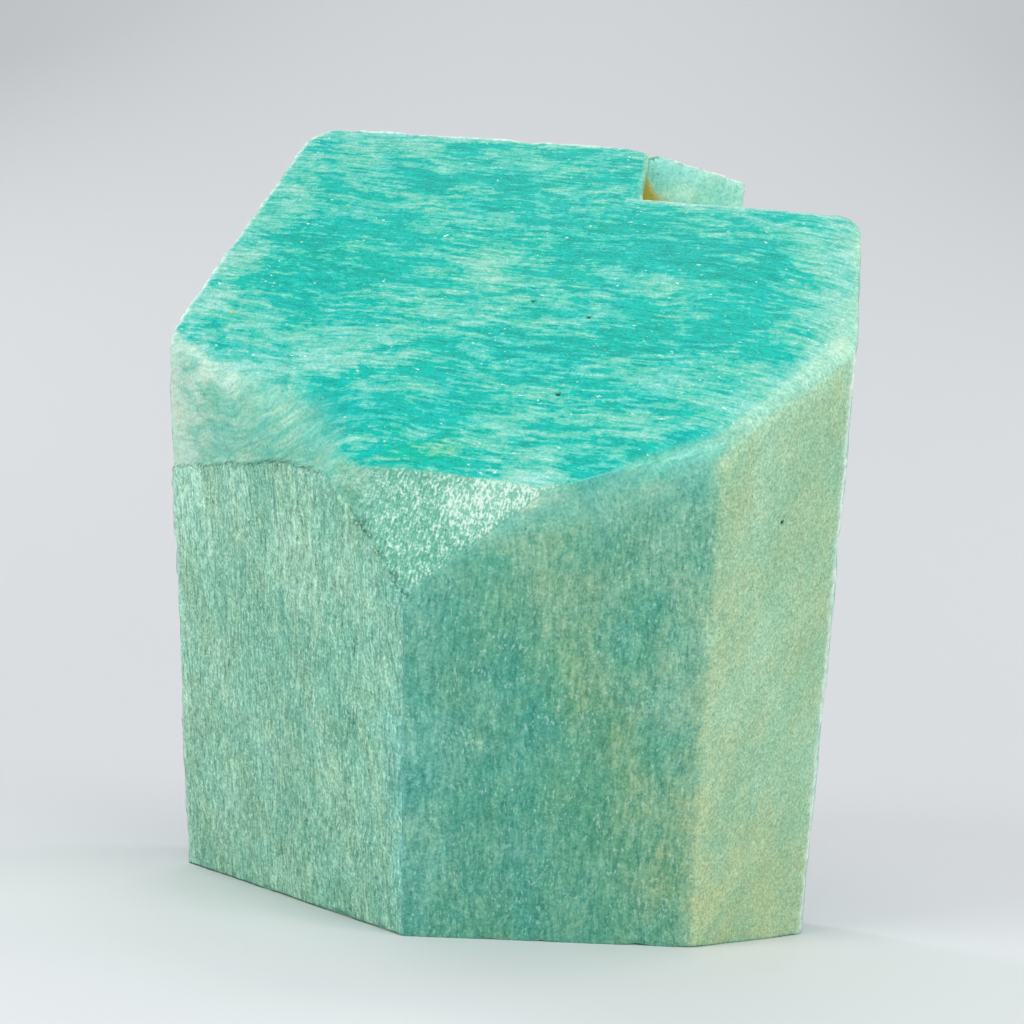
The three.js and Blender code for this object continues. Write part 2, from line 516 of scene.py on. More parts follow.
class Form:
    """The crystal's surface as the zero of one formula."""

    def __init__(self, faces):
        self.faces = faces
        names = "dome triangle left centre right side_left side_right top base"
        for name in names.split():
            setattr(self, name, named_face(faces, name))
        self.ledge = named_face(faces, "top", convex=False)
        self.solid_wall = named_face(faces, "side_right", convex=False)
        inner_corner = meeting_point(self.dome, self.ledge, self.solid_wall)
        self.notch_wall = Plane(inner_corner, unit(WALL_NORMAL))
        self.notch = named_face(faces, "notch", convex=False)
        self.notch_end = named_face(faces, "notch_end", convex=False)
        self.steps = self.back_steps()
        merged = (self.dome, self.left, self.right)
        self.others = [f for f in faces if f.convex and f not in (*merged, self.top)]
        self.shoulder_start = meeting_point(self.side_left, self.dome, self.left)
        self.shoulder_end = meeting_point(self.left, self.dome, self.triangle)
        self.roll = self.rolled_plane()

    def back_steps(self):
        """Pairs of a level ledge and the back face above it, from the lowest."""
        levels = looking(self.faces, "level", convex=False)[::-1]
        return list(zip(levels, looking(self.faces, "back", convex=False)))

    def rolled_plane(self):
        """The plane towards which the dome rolls over at its right edge."""
        upper = meeting_point(self.dome, self.side_right, self.ledge)
        lower = meeting_point(self.dome, self.side_right, self.right)
        inward = np.cross(lower - upper, self.dome.normal)
        inward *= -np.sign(inward @ self.side_right.normal) / np.linalg.norm(inward)
        start = (upper + lower) / 2 + ROLL_WIDTH * inward
        upper, lower = (p - drop * self.dome.normal for p, drop in zip((upper, lower), ROLL_DROPS))
        normal = np.cross(lower - upper, start - upper)
        return Plane(upper, unit(normal * np.sign(normal @ self.dome.normal)))

    @staticmethod
    def above_ledge(points):
        """Height above the wavering line in which the left face ends."""
        x = points[:, 0]
        fall = LEDGE_FALL * smooth_step(*LEDGE_FALL_BETWEEN, x)
        waver = sum(height * np.sin(pace * x + phase) for height, pace, phase in LEDGE_WAVES)
        return points[:, 2] - (LEDGE_HEIGHT - fall + waver)

    def stood_back(self, points):
        """How far the left face stands back, and the radius of its shoulder."""
        edge = self.shoulder_end - self.shoulder_start
        share = (points - self.shoulder_start) @ edge / (edge @ edge)
        above = smooth_step(0, LEDGE_RISE, self.above_ledge(points))
        depth = np.interp(share, SHOULDER_SHARES, SHOULDER_DEPTHS) * above
        radius = CRISP + (np.interp(share, SHOULDER_SHARES, SHOULDER_RADII) - CRISP) * above
        return depth, radius

    def ridge_drop(self, points):
        """How far the ridge lies below its plane, next to the notch."""
        left_of_wall = -self.notch_wall(points)
        drop = np.clip(1 - left_of_wall / RIDGE_DROP_LENGTH, 0, 1) ** RIDGE_DROP_CURVE
        drop *= smooth_step(-RIDGE_RETURN, 0, left_of_wall)
        return RIDGE_DROP * drop * smooth_step(*RIDGE_DROP_DEPTH, self.dome(points))

    def edge_radius(self, points):
        chips = CHIPPED * np.clip(lumps(points, CHIP_SIZE) - CHIPS_ABOVE, 0, 1)
        soft = hill(self.dome(points), DOME_CENTRE_WIDTH)
        soft *= hill(self.centre(points), DOME_CENTRE_WIDTH)
        soft *= smooth_step(*TRIANGLE_DEPTH, self.triangle(points))
        return CRISP + chips + DOME_CENTRE_RADIUS * soft

    def value(self, points, edge_radius):
        """Negative inside the crystal."""
        depth, shoulder_radius = self.stood_back(points)
        crown = soft_max([self.dome(points), self.left(points) + depth], shoulder_radius)
        crown = soft_max([crown, self.roll(points)], ROLL_BLEND)
        towards_right = smooth_step(*DOME_RIGHT_DEPTH, self.dome(points))
        right_radius = CRISP + (DOME_RIGHT_RADIUS - CRISP) * towards_right
        crown = soft_max([crown, self.right(points)], right_radius)
        top = self.top(points) + self.ridge_drop(points)
        body = soft_max([crown, top] + [f(points) for f in self.others], edge_radius)
        opening = soft_min([self.notch_wall(points), self.notch(points)], NOTCH_RADIUS)
        opening = soft_max([opening, self.notch_end(points)], NOTCH_RADIUS)
        opening = soft_min([opening, self.ledge(points)], NOTCH_RADIUS)
        body = soft_max([body, opening], NOTCH_RADIUS)
        for level, back in self.steps:
            step = soft_min([level(points), back(points)], CRISP)
            body = soft_max([body, step], NOTCH_RADIUS)
        return body

    def slope(self, points, edge_radius):
        step = SLOPE_STEP
        sides = [
            self.value(points + step * axis, edge_radius) - self.value(points - step * axis, edge_radius)
            for axis in np.eye(3)
        ]
        return np.stack(sides, axis=-1) / (2 * step)

    def settle(self, points):
        """Moves points onto the surface, and gives their outward directions."""
        depth, _ = self.stood_back(points)
        depth = depth * smooth_step(-LEDGE_REACH, 0, self.left(points))
        points = points - np.outer(depth, self.left.normal)
        moved = self.notch_wall(points) - self.solid_wall(points)
        moved = moved * hill(self.solid_wall(points), WALL_REACH)
        moved = moved * smooth_step(-0.5, 0.0, self.ledge(points))
        points = points - np.outer(moved, self.notch_wall.normal)
        edge_radius = self.edge_radius(points)
        for _ in range(SETTLE_STEPS):
            slope = self.slope(points, edge_radius)
            value = self.value(points, edge_radius)
            points = points - (value / (slope**2).sum(axis=1))[:, None] * slope
        slope = self.slope(points, edge_radius)
        return points, slope / np.linalg.norm(slope, axis=1)[:, None]

    def ledge_guides(self):
        """Rows of points on the left face, along the line in which it ends."""
        x = np.arange(self.shoulder_start[0], self.shoulder_end[0] + 2, FINE)
        found = []
        for row, rise in enumerate(LEDGE_ROWS):
            points = np.zeros((len(x), 3))
            points[:, 0] = x + 0.5 * FINE * (row % 2)
            points[:, 2] = rise - self.above_ledge(points)
            normal = self.left.normal
            points[:, 1] = (self.left.distance - points[:, ::2] @ normal[::2]) / normal[1]
            found.append(points)
        return np.concatenate(found)

    def nearest_face(self, point):
        """The seen face on whose plane a point lies, or nearly."""
        seen = [f for f in self.faces if f.seen]
        return min(seen, key=lambda f: abs(f(point)))

    def pit_guides(self):
        """Rings of points around every pit."""
        found = []
        for place, _ in PITS:
            centre = np.array(place)
            face = self.nearest_face(centre)
            side = grain_of(face)
            other = np.cross(face.normal, side)
            for radius, count in PIT_RINGS:
                angles = 2 * math.pi * np.arange(count) / count
                ring = np.outer(np.cos(angles), side) + np.outer(np.sin(angles), other)
                found.append(face.drop(centre + radius * ring))
        return np.concatenate(found)

    def guides(self):
        return np.concatenate([self.ledge_guides(), self.pit_guides()])


# ---- Growth relief and masks ----


def facing(normals, face, spread=(20, 8)):
    """1 where the surface looks the way of a face, 0 where it is turned further away than the spread."""
    low, high = (math.cos(math.radians(angle)) for angle in spread)
    return smooth_step(low, high, normals @ face.normal)


def on_face(points, normals, face, spread=(22, 8)):
    """1 where the surface looks the way of a face and lies on its plane."""
    return facing(normals, face, spread) * smooth_step(-0.8, -0.25, face(points))


def stain_mask(form, points):
    """Rust in the notch's inner corner."""
    share = (STAIN_APEX_HEIGHT - points[:, 2]) / STAIN_FALL
    open_side = (form.notch_wall(points) > -0.4) & (form.ledge(points) > -0.1)
    open_side &= form.notch(points) > -0.4
    down = np.clip(share, 0, 1.2)
    from_wall = form.notch_wall(points) / (STAIN_ON_FACE[0] + STAIN_ON_FACE[1] * down**2)
    from_face = form.notch(points) / (STAIN_ON_WALL[0] + STAIN_ON_WALL[1] * down)
    aside = np.maximum(from_wall, from_face) * (1 + 0.25 * lumps(points, 0.5))
    return smooth_step(1.3, 0.3, aside) * smooth_step(-0.1, 0.25, share) * open_side


def pit_masks(points):
    """How much each point lies in a dark pit, and in a rusty one."""
    masks = [np.zeros(len(points)), np.zeros(len(points))]
    for place, rusty in PITS:
        mask = smooth_step(*PIT_RADII, np.linalg.norm(points - place, axis=1))
        masks[rusty] = np.maximum(masks[rusty], mask)
    return masks


def zone_masks(points):
    """How much paler and warmer the broad zones make each point, with wavering borders."""
    waver = 1 + 0.5 * lumps(points, 1.6) + 0.3 * lumps(points, 0.6)
    paler, warmer = np.zeros(len(points)), np.zeros(len(points))
    for start, end, radius, more_pale, more_warm in ZONES:
        weight = hill(distance_to_line(points, start, end) * waver, radius)
        paler += more_pale * weight
        warmer += more_warm * weight
    return np.clip(paler, -1, 1), np.clip(warmer, -1, 1)


def outline_distance(form, points):
    """Distance from the nearest edge between the front faces and the hidden ones."""
    fronts = [f for f in form.faces if f.convex and f.seen]
    hidden = [f for f in form.faces if f.convex and not f.seen and f is not form.base]
    above_notch = form.ledge(points)
    beside_notch = form.notch_wall(points) > -0.1
    outer = outermost(hidden, points)
    outer = np.maximum(outer, np.where(beside_notch, -np.abs(above_notch), -np.inf))
    distance = -np.minimum(outermost(fronts, points), outer)
    on_notch = beside_notch & (np.abs(form.notch(points)) < 0.15) & (above_notch > 0)
    rim = -np.maximum(form.top(points), form.notch_end(points))
    return np.clip(np.where(on_notch, rim, distance), 0, None)


def notch_front(form, points):
    """1 along the part of the ledge's edge that has the notch's face behind it."""
    return smooth_step(0.5, -0.5, form.notch_end(points)) * hill(form.ledge(points), 1.0)


def seam_mask(form, points):
    """Dirt along the ledge and in the edge between the left face and the triangle."""
    corner = meeting_point(form.left, form.centre, form.triangle)
    upper = corner + 0.6 * (form.shoulder_end - corner)
    edge = hill(distance_to_line(points, corner, upper), 0.4)
    edge *= smooth_step(-0.1, 0.3, lumps(points, 1.1) + 0.3)
    on_left = (points[:, 0] < form.shoulder_end[0] + 1) & (form.left(points) > -1.2)
    ledge = hill(form.above_ledge(points), 0.14) * on_left
    return np.maximum(edge, 0.65 * ledge)


def crown_mask(form, points, normals):
    """The dome, the shoulder above the ledge, and the bevel between them."""
    shoulder = smooth_step(-0.05, 0.1, form.above_ledge(points))
    shoulder *= smooth_step(-3.5, -2.0, form.left(points))
    shoulder *= points[:, 0] < form.shoulder_end[0] + 1.5
    shoulder *= 1 - facing(normals, form.side_left, (40, 15))
    return np.maximum(facing(normals, form.dome, (32, 6)), shoulder)


def masks_of(form, points, normals):
    """Masks by which relief and colour differ, one number for every point."""
    below_ledge = smooth_step(0.1, -0.05, form.above_ledge(points))
    below_ledge = np.where(points[:, 0] < form.shoulder_end[0] + 1.0, below_ledge, 1.0)
    triangle = on_face(points, normals, form.triangle, (20, 6))
    dark, rusty = pit_masks(points)
    below_dome = hill(form.dome(points), 3.4)
    below_dome *= smooth_step(-1.5, -0.5, form.centre(points))
    paler, warmer = zone_masks(points)
    outline = outline_distance(form, points) * (1 + 0.5 * lumps(points, 0.7))
    # Paler near the outer edges: a painted pale rim of light.
    paler = np.clip(paler + 0.35 * hill(outline, 0.8), -1, 1)
    return {
        "left": on_face(points, normals, form.left) * below_ledge,
        "centre": on_face(points, normals, form.centre, (34, 10)) * (1 - 0.6 * below_dome),
        "right": on_face(points, normals, form.right, (36, 10)),
        "triangle": triangle,
        # The etched part of the triangle, whitened partly by painted sparkle.
        "etched_and_sparkle": triangle * smooth_step(-10.3, -7.4, points[:, 0] - 0.2 * (points[:, 2] - 25)),
        "dome": facing(normals, form.dome, (32, 6)),
        "crown": np.maximum(crown_mask(form, points, normals), below_dome),
        "base": facing(normals, form.base),
        "notch": facing(normals, form.notch) * (form.ledge(points) > 0),
        "paler": paler,
        "warmer": warmer,
        # Along the outer edges: chips in the relief, and a painted pale rim of light in the colour.
        "edge": hill(outline, 0.2) * (1 - 0.6 * notch_front(form, points)),
        "seam": seam_mask(form, points),
        "dark": dark,
        "rust": np.maximum(rusty, stain_mask(form, points)),
    }


def base_depth(form, points):
    """How far points of the base lie inside its outline."""
    return -outermost([f for f in form.faces if f.convex and f is not form.base], points)


def relief_of(form, points, masks):
    """How far growth relief stands out from the rounded form."""
    grain = in_grain(points)
    relief = SWELLS[0] * lumps(points, 6.0) + SWELLS[1] * lumps(points, 2.5)
    ridges = lumps(grain, (0.5, 9.0, 9.0)) + 0.6 * lumps(grain, (0.24, 3.0, 3.0))
    depth = sum((more * masks[name] for name, more in MORE_RIDGES.items()), RIDGES)
    relief += ridges * depth * (1 - masks["right"]) * (1 - masks["triangle"])
    relief += masks["triangle"] * ETCHING * lumps(grain, (0.3, 0.3, 0.55))
    relief += masks["right"] * RIGHT_ROUGHNESS * lumps(points, 0.6)
    relief -= masks["edge"] * CHIPS * np.clip(lumps(points, 0.8) + 0.1, 0, 1)
    relief += masks["notch"] * NOTCH_ROUGHNESS * lumps(grain, (0.5, 2.0, 0.8))
    seen = sum(masks[name] for name in ("crown", "left", "centre", "right", "triangle", "notch", "base"))
    terraces = sum(smooth_step(*TERRACE_EDGE, lumps(points, size)) for size in (5.0, 2.2))
    relief += TERRACES * terraces * np.clip(1 - seen, 0, 1)
    hackles = HACKLES[0] * np.abs(lumps(points, 4.0)) + HACKLES[1] * np.abs(lumps(points, 1.1))
    relief = np.where(masks["base"] > 0, np.minimum(relief, 0), relief)
    relief -= masks["base"] * hackles * smooth_step(0.0, HACKLES_FROM, base_depth(form, points))
    relief -= PIT_DEPTH * np.maximum(masks["dark"], masks["rust"] * (masks["notch"] < 0.5))
    return relief


# ---- The crystal ----


def add_object(name, data):
    """A new object in the scene."""
    made = bpy.data.objects.new(name, data)
    bpy.context.scene.collection.objects.link(made)
    return made


def make_crystal(cad):
    corners, faces = read_faces(cad)
    form = Form(faces)
    form.triangle.size = ETCHED
    cut = CrystalMesh(corners, faces, form.guides())
    points, normals = form.settle(np.array(cut.points))
    masks = masks_of(form, points, normals)
    points = points + relief_of(form, points, masks)[:, None] * normals
    points[:, 2] = np.maximum(points[:, 2], 0)
    mesh = bpy.data.meshes.new("amazonite_crystal")
    mesh.from_pydata((points * MM).tolist(), [], cut.triangles)
    mesh.shade_smooth()
    for name, mask in masks.items():
        layer = mesh.attributes.new(name, "FLOAT", "POINT")
        layer.data.foreach_set("value", mask.astype(np.float32))
    mesh.validate()
    mesh.materials.append(amazonite_material())
    return add_object("amazonite_crystal", mesh)


# ---- Material ----

# Noises: the place that each is read at, its lumps per millimetre along that place's axes, its detail and
# its roughness. The first three bend the places of the others.
NOISES = {
    "wave": ("crystal", (0.1, 0.1, 0.1), 1.0, 0.5),
    "ripple": ("crystal", (0.6, 0.6, 0.6), 2.0, 0.5),
    "wander": ("crystal", (0.35, 0.35, 0.35), 1.0, 0.5),
    "patches": ("grain", (0.42, 0.16, 0.16), 2.0, 0.5),
    "streaks": ("grain", (1.5, 0.3, 0.3), 3.0, 0.6),
    "shreds": ("grain", (3.8, 0.55, 0.55), 2.0, 0.6),
    "threads": ("grain", (2.0, 0.14, 0.14), 1.0, 0.5),
    "dashes": ("grain", (7.5, 2.6, 0.8), 2.0, 0.6),
    "needles": ("grain", (2.6, 7.0, 2.4), 1.0, 0.6),
    "glitter": ("grain", (6.5, 4.0, 2.4), 1.0, 0.6),
    "flecks": ("grain", (4.2, 2.0, 2.0), 2.0, 0.6),
    "ribs": ("grain", (2.6, 1.0, 0.35), 3.0, 0.6),
    "bands": ("strands", (1.3, 0.25, 0.25), 3.0, 0.6),
    "flow": ("strands", (4.0, 0.8, 0.8), 2.0, 0.6),
    "cloud": ("crystal", (0.2, 0.2, 0.14), 5.0, 0.6),
    "hue": ("crystal", (0.33, 0.33, 0.2), 4.0, 0.6),
    "clusters": ("crystal", (0.45, 0.45, 0.45), 1.0, 0.5),
    "dapple": ("crystal", (2.1, 2.1, 2.1), 2.0, 0.6),
    "speckle": ("crystal", (5.0, 5.0, 5.0), 1.0, 0.5),
    "grit": ("crystal", (5.5, 5.5, 5.5), 1.0, 0.6),
}

# Looks of the faces: colours from the deepest turquoise to the whitest albite, the noises that vary them
# finely, and how much pale zones move the hue, and the fine variation moves the hue and the lightness.
LOOKS = {
    "dome": (
        {
            0.0: (0.0, 0.33, 0.265),
            0.2: (0.0, 0.415, 0.345),
            0.4: (0.0, 0.445, 0.36),
            0.6: (0.085, 0.465, 0.365),
            0.8: (0.15, 0.51, 0.41),
            1.0: (0.29, 0.57, 0.515),
        },
        {"shreds": 1.15, "dapple": 0.4, "grit": 0.9},
        (0.15, 0.5, 0.33),
    ),
    "shoulder": (
        {
            0.0: (0.0, 0.38, 0.32),
            0.4: (0.13, 0.485, 0.375),
            0.7: (0.26, 0.56, 0.43),
            1.0: (0.50, 0.675, 0.545),
        },
        {"flow": 0.8, "dapple": 0.4, "grit": 0.6},
        (0.45, 0.35, 0.7),
    ),
    "hidden": (
        {0.0: (0.05, 0.33, 0.235), 0.5: (0.18, 0.45, 0.33), 1.0: (0.38, 0.64, 0.50)},
        {"streaks": 0.9, "dashes": 0.8, "grit": 0.9, "dapple": 0.6},
        (0.4, 0.7, 0.3),
    ),
    # The left and centre faces' duller, greener colours partly hold a painted cast of light reflected onto
    # them.
    "left": (
        {0.0: (0.105, 0.385, 0.265), 0.5: (0.265, 0.545, 0.385), 1.0: (0.475, 0.79, 0.61)},
        {"dashes": 1.4, "grit": 1.2, "ribs": 0.6, "dapple": 0.8},
        (0.4, 0.57, 0.6),
    ),
    "centre": (
        {0.0: (0.005, 0.245, 0.17), 0.5: (0.11, 0.345, 0.24), 1.0: (0.285, 0.47, 0.33)},
        {"dashes": 1.1, "grit": 0.9, "ribs": 0.7, "dapple": 0.7},
        (0.6, 0.43, 0.6),
    ),
    "right": (
        {0.0: (0.22, 0.41, 0.24), 0.5: (0.325, 0.52, 0.325), 1.0: (0.46, 0.66, 0.45)},
        {"grit": 2.4, "dapple": 1.2},
        (0.3, 0.31, 0.28),
    ),
    "triangle": (
        {0.0: (0.065, 0.25, 0.17), 0.5: (0.165, 0.40, 0.29), 1.0: (0.33, 0.57, 0.45)},
        {"dashes": 1.4, "grit": 1.2, "ribs": 0.6, "dapple": 0.8},
        (0.4, 1.0, 0.0),
    ),
    "notch": (
        {0.0: (0.14, 0.54, 0.42), 0.5: (0.30, 0.69, 0.57), 1.0: (0.50, 0.82, 0.72)},
        {"dapple": 0.9, "flow": 0.6, "grit": 0.7},
        (0.5, 0.6, 0.3),
    ),
}
# Colours of the etched triangle: its upper stops are partly painted sparkle, white where its facets would
# catch the key light.
ETCHED_AND_SPARKLE_COLOURS = {
    0.0: (0.09, 0.33, 0.23),
    0.4: (0.16, 0.43, 0.315),
    0.7: (0.27, 0.53, 0.41),
    1.0: (0.52, 0.70, 0.60),
}
RUST_COLOURS = {0.0: (0.50, 0.60, 0.34), 0.55: (0.55, 0.50, 0.16), 1.0: (0.46, 0.36, 0.05)}

# Tints that multiply a colour, the first by how much warmer a zone is, and colours of small marks.
WARMTH = (0.6, 0.0, -0.3)
TEAL_TINT = (0.90, 1.0, 1.035)
OLIVE_TINT = (1.04, 1.0, 0.965)
# Darkening for specks, and for painted shade in the prism's grooves.
SPECK_AND_GROOVE_SHADE = (0.3, 0.5, 0.45)
# Painted sparkle: white flecks that stand in for tiny highlights.
PAINTED_SPARKLE = (0.66, 0.80, 0.73)
# Painted glints: white sparkles where the prism's fine ridges would catch the light.
PAINTED_GLINT = (0.6, 0.82, 0.72)
DIRT = (0.03, 0.08, 0.045)
# Painted rim light: a pale colour along the outer edges in place of light through the stone's edges.
PAINTED_RIM_LIGHT = (0.78, 0.88, 0.83)
PIT = (0.004, 0.02, 0.015)

# Gloss: roughness, how much less of it the dome and the etched triangle have, refraction, specular level.
ROUGHNESS = 0.55
DOME_POLISH = 0.15
TRIANGLE_POLISH = 0.22
REFRACTION = 1.53
SPECULAR = 0.16

# Numbers of the mix node's colour inputs and output.
MIX_COLOURS = (6, 7)
MIX_RESULT = 2


def set_inputs(node, **values):
    """Sets a node's inputs by their names, with _ for a space."""
    for name, value in values.items():
        node.inputs[name.replace("_", " ")].default_value = value


class Nodes:
    """Short calls for building a material."""

    def __init__(self, name):
        self.material = bpy.data.materials.new(name)
        self.material.use_nodes = True
        self.tree = self.material.node_tree
        self.shader = self.tree.nodes["Principled BSDF"]
        self.places = {}
        self.noises = {}

    def link(self, value, socket):
        """Links an output to a socket, or sets the socket to a plain value."""
        if isinstance(value, bpy.types.NodeSocket):
            self.tree.links.new(value, socket)
        elif socket.type == "RGBA":
            socket.default_value = (*value, 1)
        else:
            socket.default_value = value

    def add(self, kind, *values, output=0, **settings):
        """An output of a new node, which has settings, and values for its first inputs."""
        node = self.tree.nodes.new(f"ShaderNode{kind}")
        for name, setting in settings.items():
            setattr(node, name, setting)
        for value, socket in zip(values, node.inputs):
            self.link(value, socket)
        return node.outputs[output]

    def math(self, operation, *values, clamp=False):
        return self.add("Math", *values, operation=operation, use_clamp=clamp)

    def product(self, first, second):
        return self.math("MULTIPLY", first, second)

    def scaled(self, value, gain, start, clamp=False):
        """A value times a gain, added to a start."""
        return self.math("MULTIPLY_ADD", value, gain, start, clamp=clamp)

    def vector(self, operation, *values, output=0):
        return self.add("VectorMath", *values, output=output, operation=operation)

    def mask(self, name):
        return self.add("Attribute", output="Fac", attribute_name=name)

    def spread(self, value, low, high, start=0.0, end=1.0, kind="LINEAR"):
        """A value between low and high, as a share of the way from start to end."""
        return self.add("MapRange", value, low, high, start, end, interpolation_type=kind)

    def step(self, *numbers):
        """The same with smooth ends."""
        return self.spread(*numbers, kind="SMOOTHSTEP")

    def noise(self, name):
        """One of the noises, around 0.5."""
        if name not in self.noises:
            place, per_mm, detail, roughness = NOISES[name]
            scaled = self.vector("MULTIPLY", self.places[place], per_mm)
            self.noises[name] = self.add("TexNoise", scaled, output="Fac")
            set_inputs(self.noises[name].node, Scale=1.0, Detail=detail, Roughness=roughness)
        return self.noises[name]

    def total(self, start, **gains):
        """A start value plus noises, each taken as its distance from its middle times a gain."""
        for name, gain in gains.items():
            start = self.scaled(self.math("SUBTRACT", self.noise(name), 0.5), gain, start)
        return start

    def ramp(self, value, stops):
        """A colour by a value from 0 to 1, with stops between them."""
        result = self.add("ValToRGB", value)
        elements = result.node.color_ramp.elements
        for position in list(stops)[1:-1]:
            elements.new(position)
        for element, colour in zip(elements, stops.values()):
            element.color = (*colour, 1)
        return result

    def mix(self, share, first, second):
        result = self.add("Mix", share, output=MIX_RESULT, data_type="RGBA")
        for value, socket in zip((first, second), MIX_COLOURS):
            self.link(value, result.node.inputs[socket])
        return result

    def bump(self, height):
        """Bump from a height in millimetres."""
        result = self.add("Bump")
        set_inputs(result.node, Strength=1.0, Distance=MM)
        self.link(height, result.node.inputs["Height"])
        return result


def add_places(nodes):
    """The places in millimetres at which noises are read."""
    place = nodes.vector("SCALE", nodes.add("TexCoord", output="Object"))
    set_inputs(place.node, Scale=1 / MM)
    nodes.places["crystal"] = place
    nodes.places["grain"] = grain_place(nodes, place)
    nodes.places["strands"] = strand_place(nodes, place)


def grain_place(nodes, place):
    """Place along the sheets' normal, b and c, a little wavy."""
    axes = (tuple(axis) for axis in (SHEET_NORMAL, AXIS_B, AXIS_C))
    across, *along = (nodes.vector("DOT_PRODUCT", place, axis, output=1) for axis in axes)
    wave, ripple = nodes.product(nodes.noise("wave"), 1.6), nodes.product(nodes.noise("ripple"), 0.35)
    return nodes.add("CombineXYZ", nodes.math("ADD", across, nodes.math("ADD", wave, ripple)), *along)


def strand_place(nodes, place):
    """Place with a first axis across the shoulder's strands."""
    x, y, z = nodes.add("SeparateXYZ", place).node.outputs
    run = nodes.math("SMOOTH_MAX", nodes.math("SUBTRACT", x, STRANDS_CLIMB_FROM), 0.0, 2.0)
    across = nodes.scaled(run, -STRANDS_CLIMB, z)
    return nodes.add("CombineXYZ", nodes.scaled(nodes.noise("wander"), 1.6, across), x, y)


def face_colour(nodes, name, broad):
    """A face's colour: broad and fine variation pick its hue, and the fine part also lightens it."""
    colours, gains, (paler, hue, light) = LOOKS[name]
    fine = nodes.total(0.0, **gains)
    value = nodes.scaled(nodes.mask("paler"), paler, nodes.scaled(fine, hue, broad), clamp=True)
    return nodes.vector("MULTIPLY", nodes.ramp(value, colours), nodes.scaled(fine, light, 1.0))


def dome_colour(nodes):
    """The dome: ragged deep patches and pale ones, drawn out along the sheets."""
    field = nodes.total(0.5, patches=0.9, streaks=0.9, shreds=0.7, dapple=0.5)
    field = nodes.scaled(nodes.mask("paler"), 0.3, field)
    value = nodes.scaled(nodes.step(field, 0.48, 0.42), -0.35, 0.54)
    value = nodes.scaled(nodes.step(field, 0.54, 0.70), 0.2, value)
    value = nodes.scaled(nodes.step(nodes.noise("threads"), 0.66, 0.72), -0.2, value)
    return face_colour(nodes, "dome", nodes.total(value, streaks=0.25))


def crystal_colour(nodes):
    """Colour from the sheets of albite in the microcline, as each face cuts them."""
    cloudy = nodes.total(0.5, cloud=1.0)
    shoulder = face_colour(nodes, "shoulder", nodes.total(0.62, bands=0.9, cloud=0.4))
    crown = nodes.mix(nodes.mask("dome"), shoulder, dome_colour(nodes))
    colour = nodes.mix(nodes.mask("crown"), face_colour(nodes, "hidden", cloudy), crown)
    for name in ("left", "centre", "right", "triangle", "notch"):
        colour = nodes.mix(nodes.mask(name), colour, face_colour(nodes, name, cloudy))
    olive = nodes.step(nodes.total(0.5, hue=1.0, ribs=0.35, dapple=0.35), 0.38, 0.62)
    colour = nodes.vector("MULTIPLY", colour, nodes.mix(olive, TEAL_TINT, OLIVE_TINT))
    tint = nodes.vector("MULTIPLY_ADD", nodes.mask("warmer"), WARMTH, (1.0, 1.0, 1.0))
    colour = nodes.vector("MULTIPLY", colour, tint)
    # The etched triangle's white is partly painted sparkle, whiter towards its right end and along its top.
    etching = nodes.spread(nodes.total(0.45, needles=2.2, grit=1.8, dapple=1.3), 0.1, 1.05)
    etched_and_sparkle = nodes.scaled(nodes.mask("paler"), 0.6, etching, clamp=True)
    return nodes.mix(nodes.mask("etched_and_sparkle"), colour, nodes.ramp(etched_and_sparkle, ETCHED_AND_SPARKLE_COLOURS))


def marked_colour(nodes, colour):
    """A colour with its marks: specks, painted sparkle, painted shade in the prism's grooves and painted
    glints on it, dirt, painted rim light, rust and pits.
    """
    clusters = nodes.step(nodes.noise("clusters"), 0.42, 0.6)
    speck = nodes.product(nodes.step(nodes.noise("flecks"), 0.35, 0.27), 0.5)
    # Painted sparkle: white flecks in place of tiny highlights, in clusters and fewer off the dome.
    sparkle = nodes.product(nodes.step(nodes.noise("flecks"), 0.66, 0.74), clusters)
    sparkle = nodes.product(sparkle, nodes.scaled(nodes.mask("dome"), 0.6, 0.35))
    prism = nodes.scaled(nodes.mask("centre"), 0.35, nodes.mask("left"))
    # Painted shade: darker where the grain's dashes are lowest, in the grooves of the bump's ridges.
    groove_shade = nodes.product(nodes.step(nodes.noise("dashes"), 0.34, 0.28, 0.0, 0.45), prism)
    # Painted glints: white sparkles on the prism, in clusters, standing in for light caught by its ridges.
    painted_glint = nodes.step(nodes.noise("glitter"), 0.62, 0.68, 0.0, 0.9)
    painted_glint = nodes.product(nodes.product(painted_glint, nodes.scaled(clusters, 0.5, 0.5)), prism)
    dirt = nodes.product(nodes.mask("seam"), nodes.step(nodes.noise("speckle"), 0.42, 0.6))
    # Painted rim light: pale colour along the outer edges.
    painted_rim_light = nodes.product(nodes.mask("edge"), nodes.spread(nodes.noise("dapple"), 0.35, 0.6, 0.35, 0.9))
    rust = nodes.mask("rust")
    covers = (
        (painted_glint, PAINTED_GLINT),
        (nodes.product(dirt, 0.8), DIRT),
        (painted_rim_light, PAINTED_RIM_LIGHT),
        (nodes.math("POWER", rust, 0.8), nodes.ramp(rust, RUST_COLOURS)),
        (nodes.mask("dark"), PIT),
    )
    colour = nodes.mix(speck, colour, nodes.vector("MULTIPLY", colour, SPECK_AND_GROOVE_SHADE))
    colour = nodes.mix(sparkle, colour, PAINTED_SPARKLE)
    colour = nodes.mix(groove_shade, colour, nodes.vector("MULTIPLY", colour, SPECK_AND_GROOVE_SHADE))
    for share, cover in covers:
        colour = nodes.mix(share, colour, cover)
    return colour


